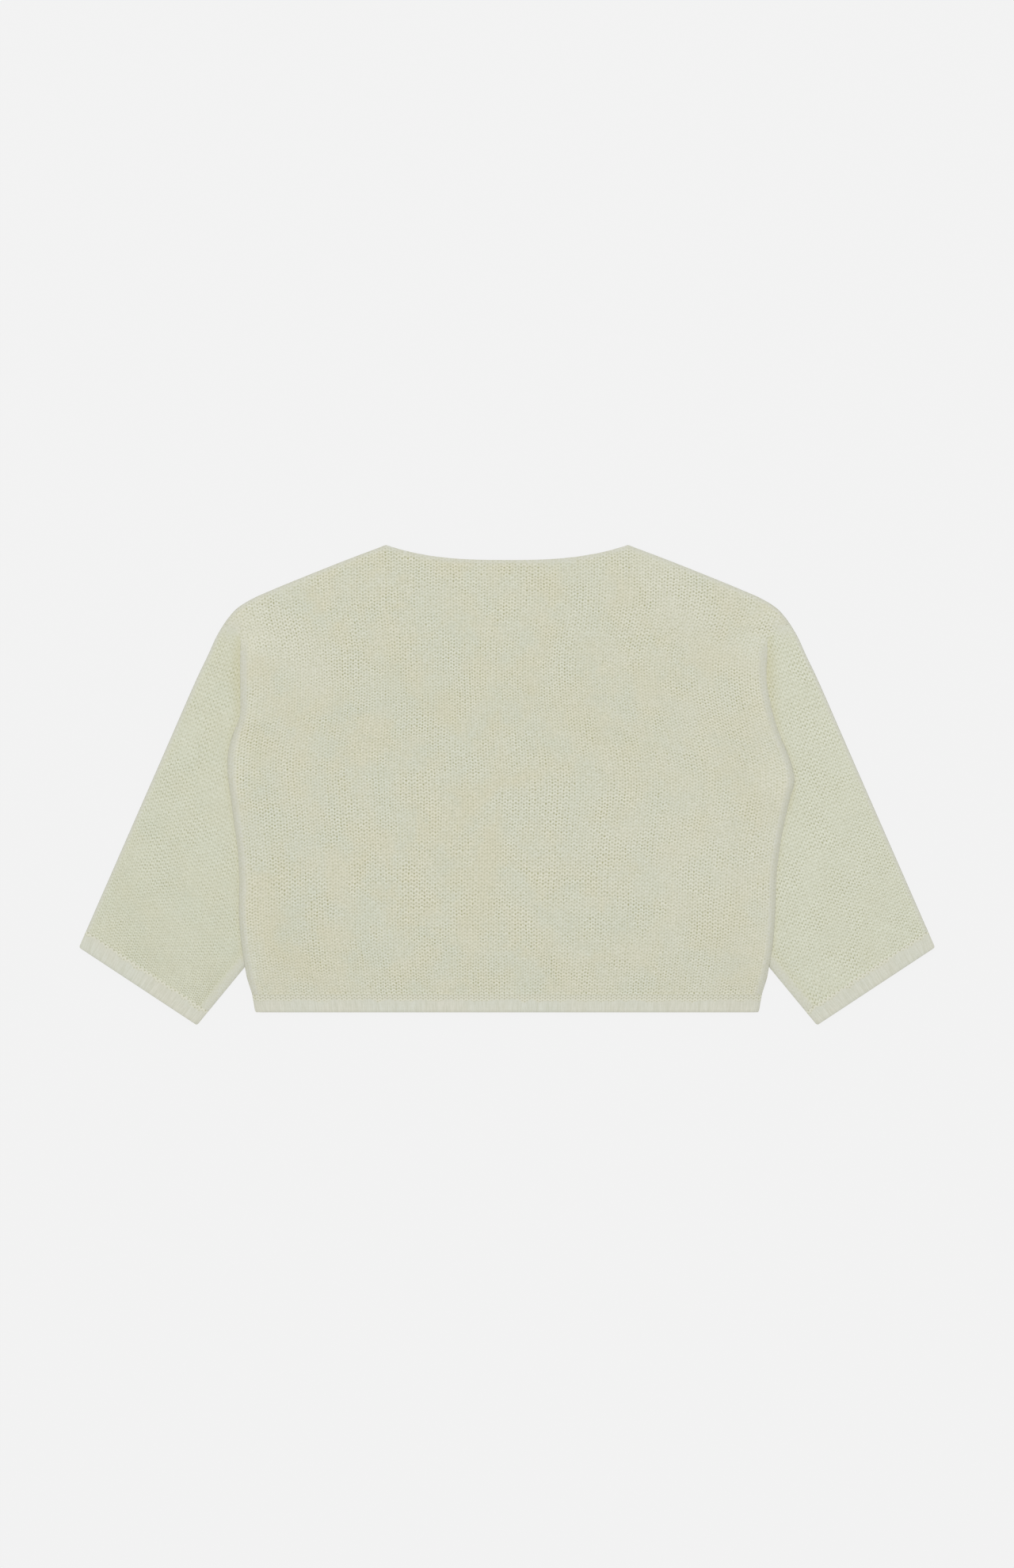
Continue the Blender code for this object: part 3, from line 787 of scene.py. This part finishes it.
def makeCuff(name, side, material):
    # flattened tube of ribs between the open end of the sleeve and the line of its first course
    outer, rim, _ = sleeveOutline(side)
    low = np.array([outer[0], rim[0]])
    high = np.array([walk(outer, rib["depth"]), walk(rim, rib["depth"])])
    shell, ends = Shell(), {1: [], -1: []}
    for fine, columns, rows in ((True, rib["cuffCount"] * rib["perRib"], rib["rows"]),
                                (False, *rib["innerCuff"])):
        across = np.linspace(0.0, 1.0, columns + 1)[None, :, None]
        upwards = np.linspace(0.0, 1.0, rows)[:, None, None]
        lower = low[0] + across * (low[1] - low[0])
        upper = high[0] + across * (high[1] - high[0])
        plan = lower + upwards * (upper - lower)
        width = np.linalg.norm(plan[:, -1] - plan[:, 0], axis=1)[:, None]
        across, upwards = across[..., 0], upwards[..., 0]
        fromFold = np.minimum(across, 1 - across) * width
        rise = rolled(fromFold, rollWidth)
        plan = plan + lowerCorner(upwards, fromFold)[..., None] / rib["depth"] * (upper - lower)
        phase = across * rib["cuffCount"] + 0 * upwards
        course = upwards * rib["cuffCourses"] + 0 * phase
        if not fine:
            shift = insideShift(fromFold) / width * np.where(across < 0.5, 1, -1)
            plan = plan + shift[..., None] * (plan[:, -1:] - plan[:, :1])
        for facing in (1, -1):
            height = (halfStack - wall) * rise
            if fine:
                runOut = softStep((1 - upwards) * rib["depth"] / rib["fadeLength"])
                height = halfStack + ribRelief(phase, facing) * runOut - ribPits(phase, course)
                height = (height - lip(upwards * rib["depth"])) * rise
            z = halfStack + facing * height
            index = shell.add(plan[..., 0], plan[..., 1], z, phase, course)
            ends[facing].append((index[0], index[-1]))
    for facing in (1, -1):
        shell.close(*ends[facing])
    return makePiece(name, shell, material, "cuff_left" if side == left else "cuff_right")


# Shader maths

class Wire:
    # a socket that can be used in sums: each operator adds a Math node
    def __init__(self, yarn, socket):
        self.yarn, self.socket = yarn, socket

    def math(self, operation, *others):
        return self.yarn.node("Math", {"operation": operation}, (self, *others))

    def __add__(self, other):
        return self.math("ADD", other)

    def __sub__(self, other):
        return self.math("SUBTRACT", other)

    def __mul__(self, other):
        return self.math("MULTIPLY", other)

    def __rsub__(self, other):
        return self.yarn.node("Math", {"operation": "SUBTRACT"}, (other, self))

    def startingAt(self, least):
        # 0 to 1 drawn together to least to 1
        return self * (1 - least) + least


class YarnMaterial:
    # one Principled shader, the means to add nodes to it, and what all yarn shares
    def __init__(self, name, look):
        self.look = look
        self.material = bpy.data.materials.new(name)
        self.material.use_nodes = True
        self.tree = self.material.node_tree
        self.shader = self.tree.nodes["Principled BSDF"]
        self.shader.inputs["Roughness"].default_value = look["roughness"]
        self.shader.inputs["Specular IOR Level"].default_value = look["specular"]
        self.place = self.node("TexCoord", {}, (), "Object")
        self.stitch = self.node("Attribute", {"attribute_name": "stitch"}, (), "Vector")
        self.fibre = self.noise(self.place, *look["fibres"])

    def node(self, kind, settings, inputs, out=0):
        # the inputs come in turn, or in a dictionary by socket
        made = self.tree.nodes.new("ShaderNode" + kind)
        for key, value in settings.items():
            setattr(made, key, value)
        for key, value in inputs.items() if isinstance(inputs, dict) else enumerate(inputs):
            if isinstance(value, Wire):
                self.tree.links.new(value.socket, made.inputs[key])
            else:
                made.inputs[key].default_value = value
        return Wire(self, made.outputs[out])

    def parts(self, vector, count):
        return [self.node("SeparateXYZ", {}, (vector,), i) for i in range(count)]

    def mix(self, factor, *colours):
        # the first colour where the factor is 0 and the second where it is 1
        first, second = (c if isinstance(c, Wire) else (*c, 1.0) for c in colours)
        return self.node("Mix", {"data_type": "RGBA"}, {0: factor, 6: first, 7: second}, 2)

    def noise(self, where, scale, detail, roughness=0.5):
        sockets = {"Vector": where, "Scale": scale, "Detail": detail, "Roughness": roughness}
        return self.node("TexNoise", {}, sockets)

    def ramp(self, value, low, high, bottom=0.0, top=1.0):
        # eased from bottom to top as the value goes from low to high
        smooth = {"interpolation_type": "SMOOTHSTEP"}
        return self.node("MapRange", smooth, (value, low, high, bottom, top))

    def mottled(self, where, key, bottom=0.0, top=1.0):
        # soft patches, from one entry of the look
        scale, detail, roughness, low, high = self.look[key]
        return self.ramp(self.noise(where, scale, detail, roughness), low, high, bottom, top)

    def shifted(self, value, where, key):
        # stitches pushed aside by noise, from one entry of the look
        scale, amount = self.look[key]
        return value + (self.noise(where, scale, 1.0) - 0.5) * amount

    def pattern(self, wale, course):
        # darkness of plain knit: waves over the stitch, with the gaps in two staggered columns
        column = (wale * circle).math("COSINE")
        angle = course * circle
        dark = column * angle.math("COSINE") + (column * column * 2 - 1) * self.look["double"]
        return dark - angle.math("SINE") * self.look["late"] - column * self.look["odd"]

    def strand(self, wale, course):
        # round legs of the stitches in V shape: each is a bump across and along the yarn
        aside = (wale.math("FRACT") - 0.5).math("ABSOLUTE")
        across = aside * 4 - 1
        along = (course - aside + 0.5).math("FRACT") * 2 - 1
        along = along * along
        return (1 - across * across) * (1 - along * along) * self.look["strand"]

    def finish(self, colour, height):
        # the colour, and the fine relief with the fuzz of the fibres
        height = height + self.fibre * self.look["fuzz"]
        sockets = {"Strength": self.look["bump"], "Distance": 1.0, "Height": height}
        normal = self.node("Bump", {}, sockets)
        ends = (self.look["roughness"] + more for more in self.look["roughnessSpread"])
        rough = self.ramp(self.fibre, 0.2, 0.8, *ends)
        for key, wire in (("Base Color", colour), ("Normal", normal), ("Roughness", rough)):
            self.tree.links.new(wire.socket, self.shader.inputs[key])
        return self.material


def knitMaterial(name, look):
    # plain knit: legs of the stitches in V shape, with yellowish gaps between them
    yarn = YarnMaterial(name, look)
    place, stitch = yarn.place, yarn.stitch
    wale, course, fade = yarn.parts(stitch, 3)
    across = yarn.parts(place, 1)[0]
    # above 0 painted shade, in a crease, a dip or a shaded fold, and below 0 painted light where the
    # cloth is lighter
    shade = yarn.node("Attribute", {"attribute_name": "crease"}, (), "Fac")

    dark = yarn.pattern(yarn.shifted(wale, place, "swayAcross"),
                        yarn.shifted(course, stitch, "swayAlong"))
    patches = yarn.mottled(place, "patches", look["gapLeast"], look["gapMost"])
    clear = patches * yarn.mottled(stitch, "uneven", 0.5, 1.5) * yarn.ramp(across, *look["contrast"])
    dark = dark * (clear * fade.startingAt(look["plainPattern"]))
    # painted light: on the lighter spots, and lighter towards the right as the light falls
    paintedLight = yarn.ramp(shade, 0.0, -1.0) + yarn.ramp(across, *look["paintedLightRight"])

    colour = yarn.mix(yarn.mottled(place, "tints"), look["warm"], look["cool"])
    colour = yarn.mix(yarn.mottled(place, "clouds") * look["cloud"] + paintedLight, colour, look["pale"])
    colour = yarn.mix((1 - fade) * look["edge"], colour, look["edgeTint"])
    colour = yarn.mix(yarn.mottled(place, "speckles") * look["speckle"], colour, look["shade"])
    # painted shade in creases, dips and shaded folds
    colour = yarn.mix(shade, colour, look["paintedShadeColour"])
    # painted highlight on the legs of the stitches
    colour = yarn.mix(dark * -look["legHighlight"], colour, look["high"])
    seamRow = yarn.ramp(course, *look["seamRow"])
    # darker gaps: partly the yellowish layer seen through them, partly painted shade in the pits; a
    # darker row at the rib
    colour = yarn.mix(dark * look["gapShare"] + seamRow, colour, look["gap"])
    return yarn.finish(colour, yarn.strand(wale, course) * fade.startingAt(look["plainStrand"]))


def ribMaterial(name, look):
    # rib: even and pale, with painted shade as a slightly darker line in each valley
    yarn = YarnMaterial(name, look)
    place, stitch = yarn.place, yarn.stitch
    phase, course = yarn.parts(stitch, 2)
    # painted shade: a slightly darker line in each valley between the ribs
    valley = yarn.ramp((phase * circle).math("COSINE"), *look["valleyLine"])
    valley = valley * yarn.mottled(place, "uneven", 0.2, 1.0)
    drawn = yarn.node("VectorMath", {"operation": "MULTIPLY"}, (stitch, look["streakScale"]))

    colour = yarn.mix(yarn.mottled(place, "tints"), look["warm"], look["cool"])
    colour = yarn.mix(yarn.ramp(yarn.fibre, 0.3, 0.7) * look["fibre"], colour, look["shade"])
    colour = yarn.mix(yarn.mottled(drawn, "streaks") * look["streak"], colour, look["gap"])
    colour = yarn.mix(valley * look["valley"], colour, look["gap"])
    # the last courses of plain knit reach unevenly into the ribs
    scale, reach, low, high = look["ragged"]
    ragged = yarn.ramp(course + yarn.noise(place, scale, 2.0) * reach, low, high)
    colour = yarn.mix(ragged * look["knitGround"], colour, look["ground"])
    dark = yarn.pattern(phase * 2, course) * ragged
    # painted highlight on the legs of the plain knit, and its darker gaps: the layer seen through them,
    # with painted shade
    colour = yarn.mix(dark * -look["legHighlight"], colour, look["high"])
    colour = yarn.mix(dark * look["gapShare"], colour, look["knitGap"])
    loops = (course * circle).math("COSINE") * (0.5 * look["loop"])
    return yarn.finish(colour, loops + yarn.strand(phase * 2, course) * ragged)


# Noise entries: scale, detail, roughness, and the values from which to which a patch grows
yarnLook = {
    "roughness": 0.93,
    "roughnessSpread": (-0.06, 0.04),
    "specular": 0.25,
    "fibres": (1400, 3, 0.7),
    "strand": 0.0005,  # height of the yarn and of its fibres
    "fuzz": 0.00012,
    "bump": 0.6,
    "double": 0.46,  # waves in the pattern of light and dark
    "late": 0.31,
    "odd": 0.17,
    # colour of the painted highlight on the legs of the stitches, and its strength
    "high": (0.82, 0.82, 0.735),
    "legHighlight": 0.28,
    # how far the gaps darken: partly the layer seen through them, partly painted shade
    "gapShare": 0.4,
}
bodyLook = {
    **yarnLook,
    "warm": (0.656, 0.632, 0.489),
    "cool": (0.622, 0.64, 0.537),
    # lighter colour for the random clouds, and for the painted light
    "pale": (0.672, 0.667, 0.557),
    "shade": (0.5, 0.495, 0.36),
    # colour in the gaps: the yellowish layer seen through them, darkened with painted shade
    "gap": (0.345, 0.345, 0.19),
    "edgeTint": (0.588, 0.59, 0.525),
    # colour of the painted shade in creases, dips and shaded folds
    "paintedShadeColour": (0.565, 0.553, 0.388),
    "tints": (18, 4, 0.65, 0.38, 0.62),
    "clouds": (30, 3, 0.5, 0.3, 0.7),
    "cloud": 0.5,
    "speckles": (480, 2, 0.65, 0.32, 0.68),
    "speckle": 0.5,
    "edge": 0.8,
    "patches": (26, 3, 0.6, 0.36, 0.66),
    "gapLeast": 0.6,  # strength of the pattern, patch by patch
    "gapMost": 1.3,
    "uneven": (1.3, 1, 0.5, 0.25, 0.75),
    "swayAcross": (120, 0.34),  # scale, and how far it moves
    "swayAlong": (0.7, 0.7),
    "contrast": (-0.3, 0.3, 1, 0.95),  # from x to x, from strength to strength
    # painted light, lighter towards the right: from x to x, from share to share
    "paintedLightRight": (-0.1, 0.3, 0, 0.32),
    "seamRow": (1.1, 0.2, 0, 0.06),  # from course to course, darker at the rib
    "plainPattern": 0.3,  # what plain strips keep of it
    "plainStrand": 0.2,
}
sleeveLook = {
    **bodyLook,
    "warm": (0.64, 0.644, 0.508),
    "cool": (0.626, 0.646, 0.522),
    "pale": (0.668, 0.682, 0.56),
    "late": 0.42,
    "speckle": 0.4,
    "swayAcross": (120, 0.3),
    "contrast": (-0.3, 0.3, 0.68, 0.8),
    "paintedLightRight": (-0.1, 0.3, 0, 0.6),
}
ribLook = {
    **yarnLook,
    "warm": (0.65, 0.64, 0.552),
    "cool": (0.634, 0.648, 0.574),
    "shade": (0.575, 0.578, 0.48),
    # darker colour for the random streaks, and for the painted shade in the valleys
    "gap": (0.5, 0.502, 0.398),
    "tints": (18, 2, 0.5, 0.35, 0.65),
    "fibre": 0.5,
    "valleyLine": (0.55, 1),
    # strength of the painted shade in the rib valleys
    "valley": 0.25,
    "uneven": (30, 2, 0.5, 0.35, 0.65),
    "streakScale": (7.5, 0.25, 0),
    "streaks": (1, 3, 0.65, 0.35, 0.65),
    "streak": 0.5,
    "loop": 0.0002,
    # ragged end of the plain knit: scale, reach, and from course to course
    "ragged": (110, 3, 5.1, 5.8),
    "ground": (0.628, 0.622, 0.508),
    "knitGround": 0.9,
    "knitGap": (0.345, 0.345, 0.19),
}

bodyKnit = knitMaterial("bodyKnit", bodyLook)
sleeveKnit = knitMaterial("sleeveKnit", sleeveLook)
ribKnit = ribMaterial("ribKnit", ribLook)
print("materials made")

front = makeBody("frontKnit", 1, bodyKnit)
back = makeBody("backKnit", -1, bodyKnit)
hemFront = makeHem("hemRibFront", 1, ribKnit)
hemBack = makeHem("hemRibBack", -1, ribKnit)
sleeves, cuffs = {}, {}
for side, word in ((left, "Left"), (right, "Right")):
    sleeves[side] = makeSleeve("sleeveKnit" + word, side, sleeveKnit)
    cuffs[side] = makeCuff("cuffRib" + word, side, ribKnit)
# Studio: pale floor, even light from all round and a soft lamp above
studio = {
    "pale": 0.888,  # light that floor and surroundings give off
    "floorDiffuse": 0.04,
    "lampPower": 32.0,
    "lampSize": 3.0,
    "lampPlace": (-0.3, 1.3, 3.2),
    "frameHeight": 1.683,  # what the picture takes in, top to bottom
    "centreY": 0.0007,
    "lens": 100.0,
    "sensor": 36.0,
    "floorReach": 12.0,
    "floorDrop": 0.0006,  # the floor stays clear of the cloth
}

floorMesh = bpy.data.meshes.new("floor")
span, drop = studio["floorReach"], studio["floorDrop"]
floorMesh.from_pydata([(x * span, y * span, -drop) for x, y in ((-1, -1), (1, -1), (1, 1), (-1, 1))],
                      [], [(0, 1, 2, 3)])
floor = addObject("floor", floorMesh)
floorMaterial = bpy.data.materials.new("paleFloor")
floorMaterial.use_nodes = True
floorShader = floorMaterial.node_tree.nodes["Principled BSDF"]
for key, value in (("Base Color", (studio["floorDiffuse"],) * 3 + (1.0,)), ("Roughness", 1.0),
                   ("Specular IOR Level", 0.0), ("Emission Color", (1.0, 1.0, 1.0, 1.0)),
                   ("Emission Strength", studio["pale"] - studio["floorDiffuse"])):
    floorShader.inputs[key].default_value = value
floorMesh.materials.append(floorMaterial)

world = bpy.data.worlds.new("studio")
world.use_nodes = True
world.node_tree.nodes["Background"].inputs["Color"].default_value = (studio["pale"],) * 3 + (1.0,)
bpy.context.scene.world = world
bpy.context.scene.view_settings.view_transform = "Standard"

lampData = bpy.data.lights.new("softLamp", "AREA")
lampData.energy = studio["lampPower"]
lampData.size = studio["lampSize"]
lamp = addObject("softLamp", lampData)
lamp.location = studio["lampPlace"]
lampX, lampY, lampZ = studio["lampPlace"]
lamp.rotation_euler = (math.atan2(math.hypot(lampX, lampY), lampZ), 0.0, math.atan2(lampX, -lampY))

cameraData = bpy.data.cameras.new("camera")
cameraData.lens = studio["lens"]
cameraData.sensor_width = studio["sensor"]
camera = addObject("camera", cameraData)
distance = studio["frameHeight"] * studio["lens"] / studio["sensor"]
camera.location = (0.0, studio["centreY"], distance + 2 * halfStack)
bpy.context.scene.camera = camera
print("studio ready")
